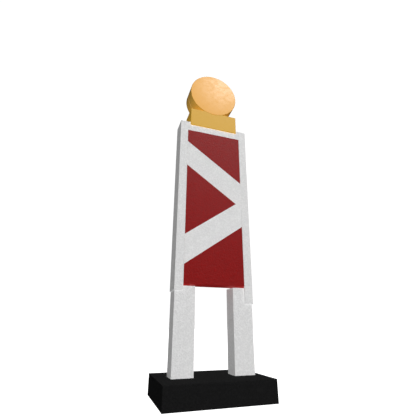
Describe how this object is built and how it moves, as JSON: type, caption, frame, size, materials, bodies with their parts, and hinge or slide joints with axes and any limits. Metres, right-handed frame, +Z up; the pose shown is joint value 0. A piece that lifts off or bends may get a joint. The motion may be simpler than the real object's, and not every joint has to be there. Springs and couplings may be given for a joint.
{
  "type": "road barricade panel with warning lamp",
  "caption": "Free-standing road marker: red panel with a white chevron between white rails on two posts in a rubber base, with an amber swivelling lamp on a battery case.",
  "frame": {"origin": "middle of the rubber base's underside, on the ground", "axes": "+Z up, -Y out of the chevron's front face, +X to the right as seen from the front, where the chevron points"},
  "size_m": [0.316, 0.2314, 1.1575],
  "materials": {
    "rubber": "fine grainy moulded rubber",
    "white_plastic": "fine-textured white",
    "red_plastic": "fine-textured red",
    "white_sheeting": "fine-textured white reflective sheeting",
    "yellow_plastic": "satin amber yellow",
    "amber_lens": "translucent amber, satin",
    "black_plastic": "satin black",
    "ivory_plastic": "satin",
    "zinc_steel": "zinc plated",
    "contact_steel": "nickel plated strip",
    "aluminium": "mill finish",
    "seal_rubber": "soft foam rubber",
    "amber_silicone": "soft amber silicone",
    "reflector": "metallised plastic",
    "led_resin": "clear yellowish resin",
    "circuit_board": "green solder mask",
    "cell_jacket": "printed-film jacket, plain",
    "red_wire": "PVC insulation",
    "black_wire": "PVC insulation"
  },
  "bodies": {
    "stand": {"rubber_base": "rubber", "retaining_plate": "zinc_steel", "foot_bolts": "zinc_steel", "left_foot_plug": "black_plastic", "right_foot_plug": "black_plastic", "left_post": "white_plastic", "right_post": "white_plastic", "left_post_cap": "white_plastic", "right_post_cap": "white_plastic", "left_spigot": "zinc_steel", "right_spigot": "zinc_steel", "left_collar": "red_plastic", "right_collar": "red_plastic", "panel_body": "red_plastic", "left_rail": "white_plastic", "right_rail": "white_plastic", "top_rail": "white_plastic", "front_chevron": "white_sheeting", "rear_chevron": "white_sheeting", "rail_rivets": "aluminium", "post_screws": "zinc_steel", "corner_screws": "zinc_steel", "battery_case": "yellow_plastic", "mounting_bolt": "zinc_steel", "mounting_washers": "zinc_steel", "mounting_nut": "zinc_steel", "left_battery_holder": "black_plastic", "right_battery_holder": "black_plastic", "battery_cells": "cell_jacket", "front_contacts": "contact_steel", "negative_lead": "black_wire", "positive_lead": "red_wire", "lead_connector": "ivory_plastic", "switch_body": "black_plastic", "hinge_pin": "zinc_steel"},
    "lamp_head": {"front_lens": "amber_lens", "rear_lens": "amber_lens", "lens_gasket": "amber_silicone", "lens_screws": "zinc_steel", "swivel_stem": "black_plastic", "swivel_nut": "black_plastic", "swivel_washer": "ivory_plastic", "lamp_chassis": "ivory_plastic", "front_reflector": "reflector", "rear_reflector": "reflector", "front_led": "led_resin", "rear_led": "led_resin", "flasher_board": "circuit_board", "photocell": "ivory_plastic", "head_lead": "black_wire"},
    "door": {"case_door": "yellow_plastic", "door_seal": "seal_rubber", "door_contacts": "contact_steel"},
    "left_lock": {"left_lock_barrel": "zinc_steel", "left_lock_cam": "zinc_steel"},
    "right_lock": {"right_lock_barrel": "zinc_steel", "right_lock_cam": "zinc_steel"},
    "knob": {"switch_knob": "black_plastic"}
  },
  "joints": [
    {"name": "lamp_swivel", "type": "hinge", "parent": "stand", "child": "lamp_head", "pos_m": [0.007, 0.00325, 0.9665], "axis": [0, 0, 1], "range_deg": [-90, 90]},
    {"name": "door_hinge", "type": "hinge", "parent": "stand", "child": "door", "pos_m": [0.007, 0.04625, 0.915], "axis": [-1, 0, 0], "range_deg": [0, 165]},
    {"name": "left_lock_turn", "type": "hinge", "parent": "door", "child": "left_lock", "pos_m": [-0.0645, 0.04325, 0.953], "axis": [0, 1, 0], "range_deg": [0, 90]},
    {"name": "right_lock_turn", "type": "hinge", "parent": "door", "child": "right_lock", "pos_m": [0.0785, 0.04325, 0.953], "axis": [0, -1, 0], "range_deg": [0, 90]},
    {"name": "power_switch", "type": "hinge", "parent": "stand", "child": "knob", "pos_m": [0.099, 0.00325, 0.9441], "axis": [1, 0, 0], "range_deg": [0, 90]}
  ]
}
